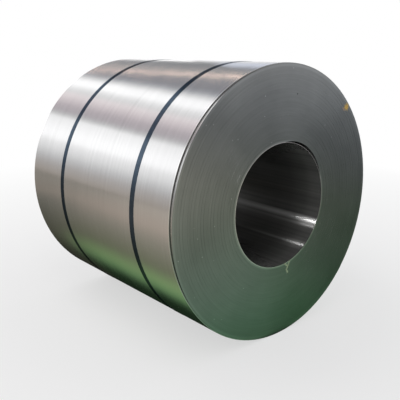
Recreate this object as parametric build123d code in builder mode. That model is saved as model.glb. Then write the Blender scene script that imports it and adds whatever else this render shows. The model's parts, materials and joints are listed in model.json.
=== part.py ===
"""A coil of cold-rolled steel strip, lying on its side and held by two steel straps."""

import os
from math import cos, degrees, radians, sin

from build123d import *

# Coil: the strip is as wide as the coil is long, and the front end faces -Y
strip_width = 1250
strip_thickness = 1.2
outer_diameter = 1340
bore_diameter = 610

# Turns that show on the ends, as rings that stand back from the end by shares of a depth
ring_count = 44
ring_depth = 0.7
ring_depth_shares = (0.45, 0.1, 0.75, 0.3, 1.0, 0.2, 0.6)

# Outermost turns: on one side they stand off the rest at the front end, and a skewed edge cuts them back
outer_turns_thickness = 4
outer_turns_gap = 2.5
outer_turns_gap_depth = 24
outer_turns_angle = 180
outer_turns_half_span = 75
skew_depth = 16
skew_angle = 150
skew_half_span = 62

# Innermost turn, which stands off the next one at the front of the bore
inner_gap = 14
inner_gap_depth = 320
inner_gap_angle = 54
inner_gap_half_span = 34

# Tail of the strip, on the far side of the coil
tail_angle = 320

# Straps, each placed from the end that it is nearer to
strap_width = 32
strap_thickness = 1
near_strap_inset = 282
far_strap_inset = 328

# Crimped seals that close the straps
seal_length = 64
seal_wall = 1.6
seal_angle = 28
seal_side_clearance = 0.3
crimp_width = 7
crimp_depth = 1.1
crimp_spacing = 26

# Cuts run this far past the surface that they start from
overrun = 20

outer_radius = outer_diameter / 2
bore_radius = bore_diameter / 2
strap_radius = outer_radius + strap_thickness
body_radius = outer_radius - outer_turns_thickness - outer_turns_gap
axis_height = strap_radius
front = -strip_width / 2
back = strip_width / 2

axis_point = (0, 0, axis_height)
coil_axis = Axis(axis_point, (0, 1, 0))


def across(place):
    """Plane square to the axis that faces -Y, with the part's X and Z as its x and y."""
    return Plane(origin=(0, place, axis_height), x_dir=(1, 0, 0), z_dir=(0, -1, 0))


def radial(angle):
    """Plane through the axis, with the part's Y as its x and the distance from the axis as its y."""
    turn = radians(angle)
    return Plane(origin=axis_point, x_dir=(0, 1, 0), z_dir=(sin(turn), 0, -cos(turn)))


def on_circle(radius, angle):
    """Point of a circle around the axis, in a plane square to it."""
    return (radius * cos(radians(angle)), radius * sin(radians(angle)))


def ring_section(inner, outer, low, high):
    """Rectangle in a radial plane, from one radius to another and from one place along Y to another."""
    with Locations(((low + high) / 2, (inner + outer) / 2)):
        Rectangle(high - low, outer - inner)


section = radial(90)

# Tool for the skewed edge: a ring around the outermost turns, kept in front of a tilted plane
skew_x, skew_z = on_circle(1, skew_angle)
skew_start_share = cos(radians(skew_half_span))
skew_slope = skew_depth / (outer_radius * (1 - skew_start_share))
start_x, start_z = on_circle(outer_radius * skew_start_share, skew_angle)
skew_plane = Plane(
    origin=(start_x, front, axis_height + start_z),
    x_dir=(skew_z, 0, -skew_x),
    z_dir=(skew_x * skew_slope, -1, skew_z * skew_slope),
)
with BuildPart() as skew_cut:
    with BuildSketch(section):
        inside_gap = body_radius + outer_turns_gap / 2
        ring_section(inside_gap, outer_radius + overrun, front - overrun, front + skew_depth + overrun)
    revolve(axis=coil_axis)
    split(bisect_by=skew_plane, keep=Keep.TOP)

with BuildPart() as coil:
    # Two half circles make one turn of a spiral, with a step of one sheet at the tail
    with BuildSketch(across(back)):
        with BuildLine():
            wide_half = CenterArc((0, 0), outer_radius, tail_angle, -180)
            narrow_centre = on_circle(strip_thickness / 2, tail_angle + 180)
            narrow_half = CenterArc(narrow_centre, outer_radius - strip_thickness / 2, tail_angle, 180)
            Line(wide_half @ 0, narrow_half @ 0)
        make_face()
        Circle(bore_radius, mode=Mode.SUBTRACT)
    extrude(amount=strip_width)

    # Turns on both ends: the first and the last ring stay level with the end
    ring_step = (body_radius - bore_radius) / ring_count
    with BuildSketch(section):
        for ring in range(1, ring_count - 1):
            inner = bore_radius + ring * ring_step
            depth = ring_depth * ring_depth_shares[ring % len(ring_depth_shares)]
            ring_section(inner, inner + ring_step, front - overrun, front + depth)
            ring_section(inner, inner + ring_step, back - depth, back + overrun)
    revolve(axis=coil_axis, mode=Mode.SUBTRACT)

    # Crescent gap under the outermost turns, and their skewed edge
    with BuildSketch(across(front + outer_turns_gap_depth)):
        with BuildLine():
            loose_start = outer_turns_angle - outer_turns_half_span
            loose_radius = body_radius + outer_turns_gap
            loose_arc = CenterArc((0, 0), loose_radius, loose_start, 2 * outer_turns_half_span)
            ThreePointArc(loose_arc @ 0, on_circle(body_radius, outer_turns_angle), loose_arc @ 1)
        make_face()
    extrude(amount=outer_turns_gap_depth + overrun, mode=Mode.SUBTRACT)
    add(skew_cut.part, mode=Mode.SUBTRACT)

    # Crescent gap behind the innermost turn
    with BuildSketch(across(front + inner_gap_depth)):
        with BuildLine():
            turn_back = bore_radius + strip_thickness
            gap_start = inner_gap_angle - inner_gap_half_span
            turn_arc = CenterArc((0, 0), turn_back, gap_start, 2 * inner_gap_half_span)
            ThreePointArc(turn_arc @ 0, on_circle(turn_back + inner_gap, inner_gap_angle), turn_arc @ 1)
        make_face()
    extrude(amount=inner_gap_depth + overrun, mode=Mode.SUBTRACT)

os.makedirs("parts", exist_ok=True)
coil.part.label = "coil"
export_step(coil.part, "parts/coil.step")

# Straps, and on each a sleeve that folds over its edges and is crimped on both sides
seal_span = degrees(seal_length / strap_radius)
crimp_turn = degrees(crimp_spacing / 2 / strap_radius)
seal_inner_width = strap_width + 2 * seal_side_clearance
seal_half_width = seal_inner_width / 2 + seal_wall
strap_places = {
    "near": front + near_strap_inset,
    "far": back - far_strap_inset,
}
for name, place in strap_places.items():
    with BuildPart() as strap:
        with BuildSketch(section):
            ring_section(outer_radius, strap_radius, place - strap_width / 2, place + strap_width / 2)
        revolve(axis=coil_axis)
    strap.part.label = f"strap_{name}"
    export_step(strap.part, f"parts/strap_{name}.step")

    with BuildPart() as seal:
        with BuildSketch(radial(seal_angle + seal_span / 2)):
            ring_section(outer_radius, strap_radius + seal_wall, place - seal_half_width, place + seal_half_width)
            with Locations((place, outer_radius + strap_thickness / 2)):
                Rectangle(seal_inner_width, strap_thickness, mode=Mode.SUBTRACT)
        revolve(axis=coil_axis, revolution_arc=seal_span)
        for crimp_angle in (seal_angle - crimp_turn, seal_angle + crimp_turn):
            with BuildSketch(radial(crimp_angle)):
                for edge in (place - seal_half_width, place + seal_half_width):
                    with Locations((edge, strap_radius)):
                        Rectangle(2 * crimp_depth, overrun)
            extrude(amount=crimp_width / 2, both=True, mode=Mode.SUBTRACT)
    seal.part.label = f"seal_{name}"
    export_step(seal.part, f"parts/seal_{name}.step")
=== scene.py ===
"""Looks of the steel coil: bright strip, dull wound ends and blue-black straps, in a plain studio."""

import json
import math

import bpy
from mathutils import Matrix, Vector


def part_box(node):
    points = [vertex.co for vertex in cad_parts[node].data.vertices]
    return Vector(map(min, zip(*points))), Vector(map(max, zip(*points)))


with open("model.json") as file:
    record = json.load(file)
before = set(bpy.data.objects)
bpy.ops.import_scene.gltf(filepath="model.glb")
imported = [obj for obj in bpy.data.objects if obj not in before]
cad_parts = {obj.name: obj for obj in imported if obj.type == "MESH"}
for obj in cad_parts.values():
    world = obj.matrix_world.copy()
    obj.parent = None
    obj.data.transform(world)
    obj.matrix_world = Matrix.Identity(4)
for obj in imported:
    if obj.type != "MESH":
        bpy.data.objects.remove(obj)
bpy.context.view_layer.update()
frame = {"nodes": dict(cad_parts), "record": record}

# Sizes read from the frame, in metres
bore_mount = next(mount for mount in frame["record"]["mounts"] if mount["name"] == "bore")
bore_radius = bore_mount["dims"]["r_mm"] / 1000
axis_height = bore_mount["pos_m"][2]
coil_low, coil_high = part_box("coil")
coil_radius = (coil_high.z - coil_low.z) / 2
wound_depth = coil_radius - bore_radius
front = coil_low.y
back = coil_high.y

# Skewed edge of the outermost turns at the front end: angle of its deepest point, half span and depth
skew_angle = 150
skew_half_span = 62
skew_depth = 0.016

# Camera fitted to the photograph: its focal length in photo pixels, and its place and turn in the frame
photo_pixels = 400
focal_pixels = 577.8
sensor_width = 36
camera_place = Vector((-2.031, -2.401, axis_height + 0.726))
camera_turn = 40.544
camera_dip = 14.613


# Nodes

# Share of its radius within which a mask is full
full_share = 0.6

# Detail and roughness of the finest noises, and the middle of a noise's colour
fine_detail = 4.0
fine_roughness = 0.6
noise_middle = (0.5, 0.5, 0.5)


def add(tree, kind, inputs=None, **settings):
    """New node of a material or world; each input is a value or another node's output."""
    node = tree.nodes.new(kind)
    for name, value in settings.items():
        setattr(node, name, value)
    for name, value in (inputs or {}).items():
        if isinstance(value, bpy.types.NodeSocket):
            tree.links.new(value, node.inputs[name])
        else:
            node.inputs[name].default_value = value
    return node


def new_material(name):
    """Empty material with its node tree and output."""
    material = bpy.data.materials.new(name)
    material.use_nodes = True
    material.node_tree.nodes.clear()
    output = add(material.node_tree, "ShaderNodeOutputMaterial")
    return material, material.node_tree, output


def math_node(tree, operation, first, second=0.0):
    """Result of one sum."""
    return add(tree, "ShaderNodeMath", {0: first, 1: second}, operation=operation).outputs[0]


def vector_node(tree, operation, first, second=(0, 0, 0), result="Vector"):
    """Result of one sum of vectors."""
    return add(tree, "ShaderNodeVectorMath", {0: first, 1: second}, operation=operation).outputs[result]


def ramp(tree, factor, stops, reach=1.0):
    """Colour ramp over (place, grey level or colour) stops, whose places run from 0 to the reach."""
    share = factor if reach == 1.0 else math_node(tree, "DIVIDE", factor, reach)
    node = add(tree, "ShaderNodeValToRGB", {"Fac": share})
    elements = node.color_ramp.elements
    for index, (place, colour) in enumerate(stops):
        # A new ramp has two stops of its own
        element = elements[index] if index < 2 else elements.new(place / reach)
        element.position = place / reach
        level = colour if isinstance(colour, tuple) else (colour,) * 3
        element.color = (*level, 1)
    return node.outputs["Color"]


def mixed(tree, share, first, second, blend="MIX"):
    """Two colours mixed by a share."""
    inputs = {0: share, 6: first, 7: second}
    return add(tree, "ShaderNodeMix", inputs, data_type="RGBA", blend_type=blend).outputs[2]


def multiplied(tree, first, second):
    """Two colours multiplied."""
    return mixed(tree, 1.0, first, second, "MULTIPLY")


def parts_of(tree, vector):
    """The three numbers of a vector, as outputs named X, Y and Z."""
    return add(tree, "ShaderNodeSeparateXYZ", {0: vector}).outputs


def own_place(tree):
    """Place in an object's own coordinates."""
    return add(tree, "ShaderNodeTexCoord").outputs["Object"]


def from_axis(tree):
    """Place measured from the coil's axis, in metres."""
    return vector_node(tree, "SUBTRACT", own_place(tree), (0, 0, axis_height))


def stretched(tree, vector, scales):
    """Vector with each direction scaled by itself."""
    return vector_node(tree, "MULTIPLY", vector, scales)


def noise(tree, vector, scale, detail=3.0, roughness=0.5):
    """Noise between 0 and 1 over a vector."""
    inputs = {"Vector": vector, "Scale": scale, "Detail": detail, "Roughness": roughness}
    return add(tree, "ShaderNodeTexNoise", inputs).outputs["Fac"]


def stretched_noise(tree, vector, scales, detail=3.0, roughness=0.5):
    """Noise between 0 and 1, with a scale of its own in each direction."""
    return noise(tree, stretched(tree, vector, scales), 1.0, detail, roughness)


def round_normal(tree, place, side=1.0):
    """Normal of a true round about the axis, without the mesh's seams; side is -1 for the wall of a bore."""
    return vector_node(tree, "NORMALIZE", stretched(tree, place, (side, 0, side)))


def bump(tree, height, distance, normal=None):
    """Normal bent by a height between 0 and 1 times a distance in metres."""
    inputs = {"Height": height, "Distance": distance, "Strength": 1.0}
    if normal is not None:
        inputs["Normal"] = normal
    return add(tree, "ShaderNodeBump", inputs).outputs["Normal"]


def between(tree, value, start, end, first=0.0, last=1.0):
    """Number that runs from the first to the last as the value runs from the start to the end."""
    inputs = {"Value": value, "From Min": start, "From Max": end, "To Min": first, "To Max": last}
    return add(tree, "ShaderNodeMapRange", inputs).outputs[0]


def inside(tree, distance, radius):
    """1 well within a radius, fading to 0 at it."""
    return between(tree, distance, radius, full_share * radius)


def metal(tree, output, inputs):
    """Metal with the given inputs."""
    shader = add(tree, "ShaderNodeBsdfPrincipled", {"Metallic": 1.0, **inputs})
    tree.links.new(shader.outputs[0], output.inputs["Surface"])


# The grain's direction as a share of a whole turn
grain_turn = 0.25


def grained_metal(tree, output, inputs, grain):
    """Metal whose fine grain runs around the axis, so that its highlights stretch across it."""
    metal(tree, output, {
        "Anisotropic": grain,
        "Anisotropic Rotation": grain_turn,
        "Tangent": add(tree, "ShaderNodeTangent", direction_type="RADIAL", axis="Y").outputs[0],
        **inputs,
    })


# Marks on the front end

# Places from the axis along X and Z, and sizes, in metres
dab_place = (0.472, 0.44)
dab_radius = 0.022
dab_colour = (0.55, 0.34, 0.06, 1)
blot_place = (0.452, 0.432)
blot_radius = 0.008
blot_colour = (0.3, 0.21, 0.16, 1)
pit_place = (0.086, 0.526)
pit_radius = 0.005
pit_colour = (0.05, 0.05, 0.05, 1)
grease_runs = [
    ((0.039, -0.301), (0.065, -0.324)),
    ((0.078, -0.294), (0.065, -0.324)),
    ((0.065, -0.324), (0.056, -0.338)),
    ((0.056, -0.338), (0.066, -0.356)),
]
grease_width = 0.0055
grease_colour = (0.3, 0.36, 0.22, 1)

# Ragged edge of the dab and the blot
tear_scale = 60.0
tear_detail = 2.0
tear_depth = 0.03


def on_front(place):
    """Point of the front end, measured from the axis."""
    return Vector((place[0], front, place[1]))


def spot(tree, place, centre, radius):
    """Mask of a round spot on the front end."""
    away = vector_node(tree, "DISTANCE", place, on_front(centre), "Value")
    return inside(tree, away, radius)


def straight_run(tree, place, start, end, width):
    """Mask of a straight run on the front end."""
    reach = on_front(end) - on_front(start)
    offset = vector_node(tree, "SUBTRACT", place, on_front(start))
    along = vector_node(tree, "DOT_PRODUCT", offset, reach / reach.length_squared, "Value")
    along = math_node(tree, "MINIMUM", math_node(tree, "MAXIMUM", along, 0.0), 1.0)
    nearest = add(tree, "ShaderNodeVectorMath", {0: reach, "Scale": along}, operation="SCALE").outputs[0]
    return inside(tree, vector_node(tree, "DISTANCE", offset, nearest, "Value"), width)


def torn_place(tree, place):
    """Place shifted here and there along the front end, for ragged edges."""
    inputs = {"Vector": place, "Scale": tear_scale, "Detail": tear_detail}
    ragged = add(tree, "ShaderNodeTexNoise", inputs).outputs["Color"]
    shift = vector_node(tree, "SUBTRACT", ragged, noise_middle)
    return vector_node(tree, "ADD", place, stretched(tree, shift, (tear_depth, 0, tear_depth)))


def end_marks(tree, place):
    """Masks and colours of the marks: a dab of paint with a blot beside it, a pit, and a run of grease."""
    torn = torn_place(tree, place)
    grease = 0.0
    for start, end in grease_runs:
        grease = math_node(tree, "MAXIMUM", grease, straight_run(tree, place, start, end, grease_width))
    return [
        (spot(tree, torn, dab_place, dab_radius), dab_colour),
        (spot(tree, torn, blot_place, blot_radius), blot_colour),
        (spot(tree, place, pit_place, pit_radius), pit_colour),
        (grease, grease_colour),
    ]


# Outside of the coil

# Scales of the noises along X, Y and Z, and heights of the waves and ripples in metres
streak_scales = (1.5, 110, 1.5)
cloud_scales = (2.0, 3.0, 2.0)
wave_scales = (2.2, 5.0, 2.2)
wave_detail = 1.0
wave_height = 0.002
ripple_scales = (10.0, 8.0, 10.0)
ripple_detail = 2.0
ripple_height = 0.00012

strip_colours = [(0.3, (0.55, 0.55, 0.555)), (0.7, (0.6, 0.6, 0.605))]
strip_blur = [(0.35, 0.14), (0.65, 0.2)]
strip_grain = 0.8

# Lighter, duller rims: the lighter colour is a painted highlight along them
rim_width = 0.005
rim_painted_highlight = (0.8, 0.8, 0.8, 1)
rim_dullness = 0.05


def from_rim(tree, place):
    """Distance of the outside from the nearer of its two rims, of which the front one is skewed."""
    turn = math.radians(skew_angle)
    start = math.cos(math.radians(skew_half_span))
    outward = Vector((math.cos(turn), 0, math.sin(turn))) / coil_radius
    lean = math_node(tree, "SUBTRACT", vector_node(tree, "DOT_PRODUCT", place, outward, "Value"), start)
    depth = math_node(tree, "MULTIPLY", math_node(tree, "MAXIMUM", lean, 0.0), skew_depth / (1 - start))
    along = parts_of(tree, place)["Y"]
    from_front = math_node(tree, "SUBTRACT", math_node(tree, "SUBTRACT", along, front), depth)
    return math_node(tree, "MINIMUM", from_front, math_node(tree, "SUBTRACT", back, along))


def rolling_streaks(tree, place):
    """Fine streaks along the rolling direction, which is around the axis."""
    return stretched_noise(tree, place, streak_scales, fine_detail, fine_roughness)


def strip_surface():
    """Bright cold-rolled steel with fine streaks along the rolling direction, and duller rims with a painted
    highlight.
    """
    material, tree, output = new_material("strip_surface")
    place = from_axis(tree)
    streaks = rolling_streaks(tree, place)
    clouds = stretched_noise(tree, place, cloud_scales)
    waves = stretched_noise(tree, place, wave_scales, wave_detail)
    ripples = stretched_noise(tree, place, ripple_scales, ripple_detail)
    rim = inside(tree, from_rim(tree, place), rim_width)
    mean = math_node(tree, "DIVIDE", math_node(tree, "ADD", streaks, clouds), 2.0)
    dull = math_node(tree, "MULTIPLY", rim, rim_dullness)
    wavy = bump(tree, waves, wave_height, round_normal(tree, place))
    grained_metal(tree, output, {
        # Painted highlight: the rims take a lighter colour
        "Base Color": mixed(tree, rim, ramp(tree, streaks, strip_colours), rim_painted_highlight),
        "Roughness": math_node(tree, "ADD", ramp(tree, mean, strip_blur), dull),
        "Normal": bump(tree, ripples, ripple_height, wavy),
    }, strip_grain)
    return material


# Ends of the coil

# Fine lines around the axis: how close they lie, how often they break, and their height in metres
line_scale = 170.0
line_breaks = 2.5
line_height = 0.00004

end_colours = [(0.25, (0.22, 0.22, 0.22)), (0.75, (0.26, 0.26, 0.26))]
end_cloud_scale = 4.0
end_cloud_shades = [(0.1, 0.8), (0.9, 1.2)]
end_blur = [(0.1, 0.28), (0.9, 0.34)]
end_grain = 0.2

# Painted highlights on the turns' edges by their distance from the bore: a bright ring at the bore, lighter
# rings near the outside
painted_turn_highlights = [
    (0.0, (3.5, 3.1, 3.2)),
    (0.0014, (3.5, 3.1, 3.2)),
    (0.002, 1.55),
    (0.007, 1.4),
    (0.012, 1.0),
    (0.346, 1.0),
    (0.35, 1.2),
    (0.357, 1.2),
    (0.36, 1.1),
    (0.365, 1.1),
]

# Small bright specks, and the share of the cells that have one
speck_spacing = 0.05
speck_radius = 0.003
speck_share = 0.5
speck_colour = (0.5, 0.5, 0.5, 1)

# Edge of the outermost turns, whose colour changes on the left, where they stand off the rest:
# painted lighter there, against the shade of the gap beside it
outer_turns = 0.005
loose_start = -0.13
loose_full = -0.25
painted_loose_edge_light = (0.4, 0.39, 0.38, 1)


def end_lines(tree, flat, radius):
    """Fine broken lines around the axis, one every few millimetres."""
    around = vector_node(tree, "NORMALIZE", flat)
    outward = math_node(tree, "MULTIPLY", radius, line_scale)
    lift = add(tree, "ShaderNodeCombineXYZ", {"Y": outward}).outputs[0]
    turns = vector_node(tree, "ADD", stretched(tree, around, (line_breaks, 0, line_breaks)), lift)
    return noise(tree, turns, 1.0, fine_detail, fine_roughness)


def specks(tree, place):
    """Mask of sparse small bright specks."""
    cells = add(tree, "ShaderNodeTexVoronoi", {"Vector": place, "Scale": 1 / speck_spacing}).outputs
    away = math_node(tree, "MULTIPLY", cells["Distance"], speck_spacing)
    draw = add(tree, "ShaderNodeSeparateColor", {0: cells["Color"]}).outputs[0]
    chosen = math_node(tree, "LESS_THAN", draw, speck_share)
    return math_node(tree, "MULTIPLY", inside(tree, away, speck_radius), chosen)


def on_loose_side(tree, place):
    """Mask of the left side, where the outermost turns stand off the rest."""
    return between(tree, parts_of(tree, place)["X"], loose_start, loose_full)


def wound_end():
    """Dull edges of the turns on the ends: fine broken lines around the axis, painted highlights, a few
    marks.
    """
    material, tree, output = new_material("wound_end")
    place = from_axis(tree)
    flat = stretched(tree, place, (1, 0, 1))
    radius = vector_node(tree, "LENGTH", flat, result="Value")
    lines = end_lines(tree, flat, radius)
    clouds = noise(tree, place, end_cloud_scale, fine_detail)
    from_bore = math_node(tree, "SUBTRACT", radius, bore_radius)
    colour = multiplied(tree, ramp(tree, lines, end_colours), ramp(tree, clouds, end_cloud_shades))
    # Painted highlights: lighter rings at the bore and near the outside
    colour = multiplied(tree, colour, ramp(tree, from_bore, painted_turn_highlights, wound_depth))
    edge = math_node(tree, "GREATER_THAN", radius, coil_radius - outer_turns)
    loose = math_node(tree, "MULTIPLY", edge, on_loose_side(tree, place))
    # Painted light: the loose edge on the left is lighter, against the gap's shade
    colour = mixed(tree, loose, colour, painted_loose_edge_light)
    colour = mixed(tree, specks(tree, place), colour, speck_colour)
    bare = 1.0
    for mask, mark_colour in end_marks(tree, place):
        colour = mixed(tree, mask, colour, mark_colour)
        bare = math_node(tree, "SUBTRACT", bare, mask)
    grained_metal(tree, output, {
        "Base Color": colour,
        "Metallic": math_node(tree, "MAXIMUM", bare, 0.0),
        "Roughness": ramp(tree, clouds, end_blur),
        "Normal": bump(tree, lines, line_height),
    }, end_grain)
    return material


# Turn under the loose outermost ones: its place from their edge where it starts to be bare and is, in
# metres.
# Its colours are painted: lighter where they cover it, against the deep gap's shade, and a darker copy
# of the outside's colours, painted shade, where it is bare
bare_start = -0.003
bare_full = -0.005
painted_gap_light = (0.62, 0.61, 0.6, 1)
painted_bare_shade_colours = [(0.3, 0.42), (0.7, 0.48)]
gap_blur = [(0.35, 0.2), (0.65, 0.26)]


def gap_surface():
    """Turn under the loose outermost ones, which leave it bare on the left: painted lighter where covered,
    darker where bare.
    """
    material, tree, output = new_material("gap_surface")
    place = from_axis(tree)
    streaks = rolling_streaks(tree, place)
    past_edge = between(tree, from_rim(tree, place), bare_start, bare_full)
    bare = math_node(tree, "MULTIPLY", past_edge, on_loose_side(tree, place))
    grained_metal(tree, output, {
        # Painted light and shade: lighter where covered, a darker copy of the outside where bare
        "Base Color": mixed(tree, bare, painted_gap_light, ramp(tree, streaks, painted_bare_shade_colours)),
        "Roughness": ramp(tree, streaks, gap_blur),
    }, strip_grain)
    return material


# Low walls between the turns on the ends
step_grain_scale = 120.0
step_colours = [(0.3, (0.17, 0.17, 0.17)), (0.7, (0.23, 0.23, 0.23))]
step_blur = [(0.3, 0.55), (0.7, 0.65)]


def step_finish():
    """Low walls between the turns on the ends, dull and rough."""
    material, tree, output = new_material("step_finish")
    grain = noise(tree, from_axis(tree), step_grain_scale)
    metal(tree, output, {
        "Base Color": ramp(tree, grain, step_colours),
        "Roughness": ramp(tree, grain, step_blur),
    })
    return material


# Bore

# Faint marks along the axis; the colours are dark, partly oily steel and partly painted shade of the bore
bore_scales = (60, 0.5, 60)
bore_colours = [(0.3, (0.13, 0.13, 0.125)), (0.7, (0.19, 0.19, 0.18))]
bore_blur = [(0.3, 0.17), (0.7, 0.2)]
bore_metal = 0.4
bore_grain = 0.97

# Painted shade: brightness of the wall by its distance from the nearer end, darker deeper in
bore_painted_shade = [
    (0.0, 1.1),
    (0.06, 1.0),
    (0.1, 0.78),
    (0.2, 0.48),
    (0.3, 0.38),
    (0.625, 0.38),
]

# Painted glints, drawn as bright scuff lines along the bore: angle and width in degrees, reach from the
# front mouth in metres, strength
painted_glint_scuffs = [
    (-25.8, 3.9, 0.24, 1.0),
    (-31.5, 2.3, 0.12, 0.6),
    (-52.5, 2.0, 0.17, 0.62),
]
painted_glint_colour = (0.85, 0.85, 0.84, 1)
painted_glint_dullness = 0.07


def bore_painted_glints(tree, place):
    """Mask of the painted glints, bright scuff lines that run in along the bore from its front mouth."""
    sides = parts_of(tree, place)
    angle = math_node(tree, "DEGREES", math_node(tree, "ARCTAN2", sides["Z"], sides["X"]))
    from_mouth = math_node(tree, "SUBTRACT", sides["Y"], front)
    mask = 0.0
    for middle, width, reach, strength in painted_glint_scuffs:
        off = math_node(tree, "ABSOLUTE", math_node(tree, "SUBTRACT", angle, middle))
        fade = math_node(tree, "POWER", math.e, math_node(tree, "DIVIDE", from_mouth, -reach))
        line = math_node(tree, "MULTIPLY", between(tree, off, width, 0.0, 0.0, strength), fade)
        mask = math_node(tree, "MAXIMUM", mask, line)
    return mask


def bore_surface():
    """Inside of the innermost turn: dark, partly oily and partly painted shade, with faint marks along the
    axis and a few painted glints.
    """
    material, tree, output = new_material("bore_surface")
    place = from_axis(tree)
    streaks = stretched_noise(tree, place, bore_scales)
    from_end = math_node(tree, "SUBTRACT", back, math_node(tree, "ABSOLUTE", parts_of(tree, place)["Y"]))
    # Painted shade: the wall darkens away from the ends
    colour = multiplied(tree, ramp(tree, streaks, bore_colours), ramp(tree, from_end, bore_painted_shade, back))
    painted_glint = bore_painted_glints(tree, place)
    dull = math_node(tree, "MULTIPLY", painted_glint, painted_glint_dullness)
    grained_metal(tree, output, {
        # Painted glints: bright lines, lighter and rougher than the wall
        "Base Color": mixed(tree, painted_glint, colour, painted_glint_colour),
        "Metallic": between(tree, painted_glint, 0.0, 1.0, bore_metal, 1.0),
        "Roughness": math_node(tree, "ADD", ramp(tree, streaks, bore_blur), dull),
        "Normal": round_normal(tree, place, -1.0),
    }, bore_grain)
    return material


# Straps and seals
strap_wear_scale = 30.0
strap_colours = [(0.3, (0.048, 0.068, 0.094)), (0.75, (0.066, 0.091, 0.123))]
strap_blur = [(0.3, 0.15), (0.7, 0.22)]
strap_edge_tint = (0.52, 0.53, 0.55, 1)
seal_grain_scale = 90.0
seal_grain_height = 0.0002
seal_colours = [(0.3, (0.24, 0.24, 0.25)), (0.7, (0.36, 0.36, 0.37))]
seal_blur = [(0.3, 0.35), (0.7, 0.5)]


def strap_finish():
    """Glossy blue-black finish of the straps."""
    material, tree, output = new_material("strap_finish")
    place = from_axis(tree)
    wear = noise(tree, place, strap_wear_scale, fine_detail)
    facing = add(tree, "ShaderNodeNewGeometry").outputs["Normal"]
    edge = math_node(tree, "ABSOLUTE", parts_of(tree, facing)["Y"])
    metal(tree, output, {
        "Base Color": ramp(tree, wear, strap_colours),
        "Roughness": ramp(tree, wear, strap_blur),
        "Specular Tint": strap_edge_tint,
        "Normal": mixed(tree, edge, round_normal(tree, place), facing),
    })
    return material


def seal_finish():
    """Dull crimped steel of the seals."""
    material, tree, output = new_material("seal_finish")
    grain = noise(tree, from_axis(tree), seal_grain_scale, fine_detail)
    metal(tree, output, {
        "Base Color": ramp(tree, grain, seal_colours),
        "Roughness": ramp(tree, grain, seal_blur),
        "Normal": bump(tree, grain, seal_grain_height),
    })
    return material


# Dressing of the nodes

# Walls within the first margin of the bore are its own. Of the others, those deeper under the outside than
# the second margin are low steps on the ends, and those deeper than the third are the outer gap's.
bore_margin = 0.02
end_margin = 0.01
gap_margin = 0.003

# A face looks along a direction when this share of its normal does
facing_share = 0.5


def coil_surface(face):
    """Name of the surface that a face of the coil belongs to."""
    outward = Vector((face.center.x, 0, face.center.z - axis_height))
    radius = outward.length
    if abs(face.normal.y) > facing_share:
        return "end"
    if abs(face.normal.dot(outward)) < facing_share * radius:
        return "step"
    if radius < bore_radius + bore_margin:
        return "bore"
    if radius < coil_radius - end_margin:
        return "step"
    if radius < coil_radius - gap_margin:
        return "gap"
    return "outside"


def dress_coil(coil):
    """Gives the coil's outside, its ends, their low steps, the outer gap and the bore their materials."""
    surfaces = {
        "outside": strip_surface(),
        "end": wound_end(),
        "step": step_finish(),
        "gap": gap_surface(),
        "bore": bore_surface(),
    }
    slots = list(surfaces)
    coil.data.materials.clear()
    for material in surfaces.values():
        coil.data.materials.append(material)
    for face in coil.data.polygons:
        face.material_index = slots.index(coil_surface(face))


def dress_straps():
    """Gives the straps and their seals their materials."""
    strap_material = strap_finish()
    seal_material = seal_finish()
    for side in ("near", "far"):
        frame["nodes"][f"strap_{side}"].data.materials[0] = strap_material
        frame["nodes"][f"seal_{side}"].data.materials[0] = seal_material


# Studio

# Pale floor: its half size, and its share of white by the distance from the coil's middle, in metres
floor_half_size = 60.0
floor_colour = (0.8, 0.8, 0.8, 1)
floor_whiteness = [(1.0, 0.6), (4.5, 1.0)]
whiteness_reach = 5.0


def studio_world():
    """What the camera and mirrors see past the tent is plain white."""
    world = bpy.data.worlds.new("studio")
    world.use_nodes = True
    tree = world.node_tree
    tree.nodes.clear()
    output = add(tree, "ShaderNodeOutputWorld")
    white = add(tree, "ShaderNodeBackground", {"Color": (1, 1, 1, 1), "Strength": 1.0})
    tree.links.new(white.outputs[0], output.inputs["Surface"])
    bpy.context.scene.world = world


def new_stage(name, points, faces):
    """Mesh object of the studio, not of the coil."""
    mesh = bpy.data.meshes.new(name)
    mesh.from_pydata(points, [], faces)
    piece = bpy.data.objects.new(name, mesh)
    bpy.context.scene.collection.objects.link(piece)
    return piece


def rectangle(left, right, near, far, height):
    """Corners of a level rectangle."""
    return [(left, near, height), (right, near, height), (right, far, height), (left, far, height)]


def studio_floor():
    """Wide pale floor that keeps the coil's shadow and turns white far away."""
    corners = rectangle(-floor_half_size, floor_half_size, -floor_half_size, floor_half_size, 0)
    floor = new_stage("floor", corners, [(0, 1, 2, 3)])
    material, tree, output = new_material("floor")
    path = add(tree, "ShaderNodeLightPath").outputs
    seen = math_node(tree, "MAXIMUM", path["Is Camera Ray"], path["Is Glossy Ray"])
    seen = math_node(tree, "MAXIMUM", seen, path["Is Transmission Ray"])
    away = vector_node(tree, "LENGTH", own_place(tree), result="Value")
    whiteness = ramp(tree, away, floor_whiteness, whiteness_reach)
    pale = add(tree, "ShaderNodeBsdfDiffuse", {"Color": floor_colour})
    white = add(tree, "ShaderNodeEmission", {"Color": (1, 1, 1, 1), "Strength": 1.0})
    share = math_node(tree, "MULTIPLY", seen, whiteness)
    surface = add(tree, "ShaderNodeMixShader", {0: share, 1: pale.outputs[0], 2: white.outputs[0]})
    tree.links.new(surface.outputs[0], output.inputs["Surface"])
    floor.data.materials.append(material)


def make_glow(piece, shade):
    """Lets a stage piece light the coil without being seen itself; shade makes its colour."""
    material, tree, output = new_material(piece.name)
    emission = add(tree, "ShaderNodeEmission", {"Color": shade(tree), "Strength": 1.0})
    tree.links.new(emission.outputs[0], output.inputs["Surface"])
    piece.data.materials.append(material)
    piece.visible_camera = False
    piece.visible_shadow = False


# Light tent

# Half round tent, askew to the coil: its size, and the point where its middle line crosses the coil's axis
tent_radius = 5.0
tent_front = -7.0
tent_back = 11.0
tent_sides = 48
tent_turn = math.radians(-15)
tent_pivot = Vector((0, 5.6, 0))

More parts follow.
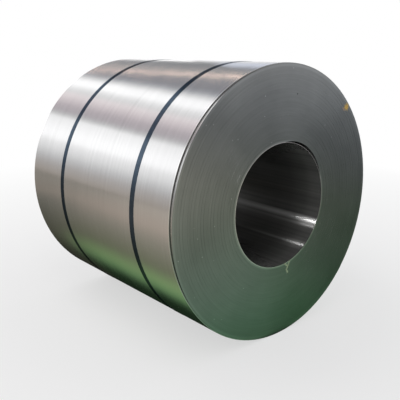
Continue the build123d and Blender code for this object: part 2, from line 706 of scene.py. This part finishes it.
# Light of the tent's cloth by its angle in degrees, from the floor at the right over the top to the left
half_turn = 180
tent_cloth = [
    (0, (0.13, 0.14, 0.15)),
    (8, (0.28, 0.31, 0.33)),
    (13, (0.78, 0.83, 0.88)),
    (20, 1.05),
    (25, 1.2),
    (29, 0.88),
    (34, 0.42),
    (40, (0.31, 0.32, 0.33)),
    (46, (0.32, 0.33, 0.35)),
    (55, 0.46),
    (60, 0.46),
    (70, (0.38, 0.38, 0.41)),
    (76, (0.36, 0.36, 0.39)),
    (80, (0.48, 0.5, 0.54)),
    (84, 1.12),
    (88, 1.68),
    (93.5, 1.7),
    (97, 1.32),
    (101, 1.1),
    (105, (1.24, 1.14, 1.15)),
    (110, (1.03, 0.93, 0.95)),
    (116, (0.74, 0.67, 0.7)),
    (121, (0.68, 0.63, 0.66)),
    (124.5, 0.86),
    (128, 1.5),
    (140, 1.76),
    (146, 1.76),
    (150, 1.42),
    (157, 1.18),
    (164, 0.83),
    (170, (0.65, 0.62, 0.6)),
    (180, (0.55, 0.49, 0.43)),
]

# Dimmer near and far parts of the tent's left side: where each starts and is full, across and along it
near_across = (-1.2, -2.0)
near_along = (2.7, 0.5)
near_shade = (0.45, 0.45, 0.46, 1)
far_across = (-2.3, -3.0)
far_along = (5.5, 8.5)
far_share = (0.87, 0.87, 0.87, 1)


def tent_part(tree, sides, across, along):
    """Mask of a part of the tent, full where both ranges are."""
    return math_node(tree, "MULTIPLY", between(tree, sides["X"], *across), between(tree, sides["Y"], *along))


def tent_shade(tree):
    """Colour of the tent's cloth by its angle around the tent's length, dimmer in parts of its left side."""
    sides = parts_of(tree, own_place(tree))
    angle = math_node(tree, "DEGREES", math_node(tree, "ARCTAN2", sides["Z"], sides["X"]))
    cloth = ramp(tree, angle, tent_cloth, half_turn)
    cloth = mixed(tree, tent_part(tree, sides, far_across, far_along), cloth, far_share, "MULTIPLY")
    return mixed(tree, tent_part(tree, sides, near_across, near_along), cloth, near_shade)


def light_tent():
    """Half round tent over the coil, whose cloth is the soft light."""
    rims = []
    for step in range(tent_sides + 1):
        angle = math.pi * step / tent_sides
        for along in (tent_front, tent_back):
            rims.append((tent_radius * math.cos(angle), along, tent_radius * math.sin(angle)))
    panels = [(2 * step, 2 * step + 1, 2 * step + 3, 2 * step + 2) for step in range(tent_sides)]
    tent = new_stage("light_tent", rims, panels)
    tent.rotation_euler.z = tent_turn
    tent.location = tent_pivot - tent.rotation_euler.to_matrix() @ tent_pivot
    make_glow(tent, tent_shade)


# Strip lights and lamps

# Lights around the coil's axis: angle in degrees, distance, first and last place along Y, width and light
strip_lights = {
    "ridge_light": (61.7, 3.41, 1.7, 8.0, 0.09, (4.4, 3.2, 2.6, 1)),
    "top_light": (35.8, 3.39, 1.8, 3.1, 0.8, (0.88, 0.93, 1.06, 1)),
    "crest_light": (21.5, 3.6, 4.1, 6.8, 0.55, (2.0, 2.0, 2.0, 1)),
}

# Lamps ahead of the front end whose narrow beams go into the bore: their angle in degrees, the angle of the
# wall that they are aimed at, width and power
bore_lamps = {
    "low_lamp": (142.9, -27, 0.14, 0.11),
    "high_lamp": (93.2, -52.7, 0.066, 0.08),
}

# Lamps' distance from the axis and from the front end, how deep in the bore they aim, length and spread
lamp_distance = 0.6
lamp_ahead = 0.075
lamp_depth = 0.075
lamp_length = 0.12
lamp_spread = 16


def around_axis(radius, angle, along):
    """Point at a radius and an angle in degrees around the axis, and at a place along Y."""
    turn = math.radians(angle)
    return Vector((radius * math.cos(turn), along, axis_height + radius * math.sin(turn)))


def strip_light(name, angle, distance, start, end, width, light):
    """Long narrow light beside the coil's axis that only reflections show."""
    turn = math.radians(angle)
    aside = Vector((-math.sin(turn), 0, math.cos(turn))) * width / 2
    first = around_axis(distance, angle, start)
    last = around_axis(distance, angle, end)
    corners = [first - aside, first + aside, last + aside, last - aside]
    piece = new_stage(name, corners, [(0, 1, 2, 3)])
    make_glow(piece, lambda tree: light)
    piece.visible_diffuse = False


def bore_lamp(name, angle, aim_angle, width, power):
    """Lamp beside the axis and ahead of the front end, with a narrow beam into the bore."""
    data = bpy.data.lights.new(name, "AREA")
    data.shape = "RECTANGLE"
    data.size = lamp_length
    data.size_y = width
    data.energy = power
    data.spread = math.radians(lamp_spread)
    lamp = bpy.data.objects.new(name, data)
    lamp.location = around_axis(lamp_distance, angle, front - lamp_ahead)
    aim = around_axis(bore_radius, aim_angle, front + lamp_depth)
    lamp.rotation_euler = (aim - lamp.location).to_track_quat("-Z", "Y").to_euler()
    lamp.visible_camera = False
    lamp.visible_diffuse = False
    bpy.context.scene.collection.objects.link(lamp)


# Floor card

# Half size of the card, and how far it lies above the floor
card_reach = 8.0
card_height = 0.001

# Light beside and behind the coil by the distance from its shadow, and that shadow's half width and end
shade_reach = 4.0
shadow_half_width = 0.45
shadow_end = 1.25
card_beside = [
    (0, (0.01, 0.02, 0.01)),
    (0.06, (0.035, 0.07, 0.035)),
    (0.14, (0.15, 0.27, 0.12)),
    (0.22, (0.22, 0.34, 0.15)),
    (0.4, (0.17, 0.18, 0.12)),
    (0.9, (0.3, 0.28, 0.23)),
    (1.5, (0.47, 0.4, 0.34)),
    (3.3, (0.5, 0.45, 0.39)),
]
card_behind = [
    (0, (0.04, 0.04, 0.03)),
    (0.2, (0.12, 0.12, 0.09)),
    (0.9, (0.27, 0.26, 0.22)),
    (1.5, (0.45, 0.4, 0.34)),
    (3.3, (0.5, 0.46, 0.4)),
]

# Place along Y, slanted further out, over which the one turns into the other and over which both fade
slant_slope = 1.2
behind_range = (0.45, 0.85)
fade_range = (-0.5, 1.3)
fade_shares = (1.3, 0.7)

# Light by the distance in metres ahead of the front end, and how soon it starts there
card_ahead = [
    (0, (0.16, 0.34, 0.19)),
    (0.2, (0.21, 0.43, 0.26)),
    (0.65, (0.39, 0.56, 0.43)),
    (1.65, (0.38, 0.42, 0.33)),
    (4, (1.4, 1.36, 1.16)),
]
ahead_start = 0.03

# Its share by the distance in metres to the right of a line that runs ahead from the front end
right_reach = 2.0
right_start = -0.12
right_slope = 0.9
right_shares = [
    (0, 1.0),
    (0.3, (0.55, 0.68, 0.55)),
    (0.8, (0.28, 0.33, 0.27)),
]


def side_shade(tree, sides):
    """Light of the card beside and behind the coil: dark next to it, then tinted, and grey further away."""
    beside = math_node(tree, "SUBTRACT", math_node(tree, "ABSOLUTE", sides["X"]), shadow_half_width)
    away = math_node(tree, "MAXIMUM", beside, math_node(tree, "SUBTRACT", sides["Y"], shadow_end))
    slant = math_node(tree, "SUBTRACT", sides["Y"], math_node(tree, "MULTIPLY", beside, slant_slope))
    shade = ramp(tree, away, card_beside, shade_reach)
    behind = between(tree, slant, *behind_range)
    shade = mixed(tree, behind, shade, ramp(tree, away, card_behind, shade_reach))
    return multiplied(tree, shade, between(tree, slant, *fade_range, *fade_shares))


def end_shade(tree, sides, ahead):
    """Light of the card ahead of the front end, darker to the right."""
    shade = ramp(tree, ahead, card_ahead, shade_reach)
    right = math_node(tree, "SUBTRACT", sides["X"], right_start)
    right = math_node(tree, "SUBTRACT", right, math_node(tree, "MULTIPLY", ahead, right_slope))
    return multiplied(tree, shade, ramp(tree, right, right_shares, right_reach))


def card_shade(tree):
    """Colour of the floor card all over."""
    sides = parts_of(tree, own_place(tree))
    ahead = math_node(tree, "SUBTRACT", front, sides["Y"])
    is_ahead = between(tree, ahead, 0.0, ahead_start)
    return mixed(tree, is_ahead, side_shade(tree, sides), end_shade(tree, sides, ahead))


def floor_card():
    """Card on the floor that only reflections show."""
    corners = rectangle(-card_reach, card_reach, -card_reach, 2 * card_reach, card_height)
    card = new_stage("floor_card", corners, [(0, 1, 2, 3)])
    make_glow(card, card_shade)
    card.visible_diffuse = False


def place_camera():
    """Camera with a level horizon, turned and dipped as in the photograph."""
    data = bpy.data.cameras.new("camera")
    data.sensor_width = sensor_width
    data.lens = focal_pixels / photo_pixels * sensor_width
    camera = bpy.data.objects.new("camera", data)
    camera.location = camera_place
    camera.rotation_euler = (math.radians(90 - camera_dip), 0, math.radians(-camera_turn))
    bpy.context.scene.collection.objects.link(camera)
    bpy.context.scene.camera = camera


dress_coil(frame["nodes"]["coil"])
dress_straps()

studio_world()
studio_floor()
light_tent()
for name, values in strip_lights.items():
    strip_light(name, *values)
for name, values in bore_lamps.items():
    bore_lamp(name, *values)
floor_card()
place_camera()
bpy.context.scene.view_settings.view_transform = "Standard"
